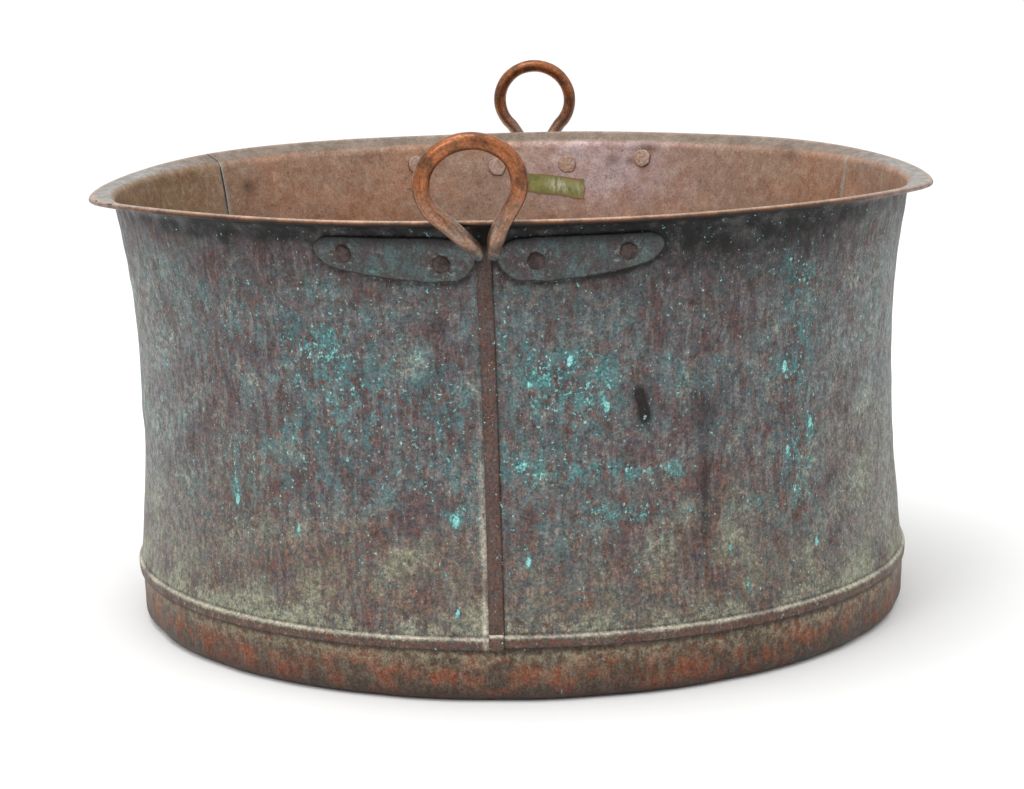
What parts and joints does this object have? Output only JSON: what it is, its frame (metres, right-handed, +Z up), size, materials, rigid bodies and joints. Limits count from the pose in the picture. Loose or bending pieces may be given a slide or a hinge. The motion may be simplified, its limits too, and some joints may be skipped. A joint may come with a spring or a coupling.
{
  "type": "riveted copper vat with loop handles",
  "caption": "Large hammered copper bowl or vat: seamed drum wall with a rolled mouth, lapped over a dished base pan, and rigid loop handles riveted under the rim",
  "frame": {"origin": "centre of the flat underside", "axes": "+Z points up out of the mouth, the handles stand on -Y (front) and +Y (back), the front wall seam lies at -Y, and the whole vat leans a little towards -X"},
  "size_m": [0.7672, 0.7915, 0.472],
  "materials": {
    "wall_copper": "hammered copper sheet with a dark grey-brown patina outside, warmer brown inside, and spots of verdigris",
    "base_copper": "hammered copper sheet, reddish brown, darkened by heat underneath",
    "steel_wire": "dark iron wire, hidden inside the rolled mouth",
    "handle_copper": "forged copper rod, rubbed bright where it is held",
    "rivet_copper": "hammered copper rivet, dark brown",
    "old_tape": "yellowed, scuffed adhesive tape with nothing written on it"
  },
  "bodies": {
    "root": {"wall_sheet_right": "wall_copper", "wall_sheet_back": "wall_copper", "wall_sheet_left": "wall_copper", "base_pan": "base_copper", "rim_wire": "steel_wire", "front_handle": "handle_copper", "back_handle": "handle_copper", "front_rivet_1": "rivet_copper", "front_rivet_2": "rivet_copper", "front_rivet_3": "rivet_copper", "front_rivet_4": "rivet_copper", "back_rivet_1": "rivet_copper", "back_rivet_2": "rivet_copper", "back_rivet_3": "rivet_copper", "back_rivet_4": "rivet_copper", "tape_strip": "old_tape"}
  },
  "joints": []
}
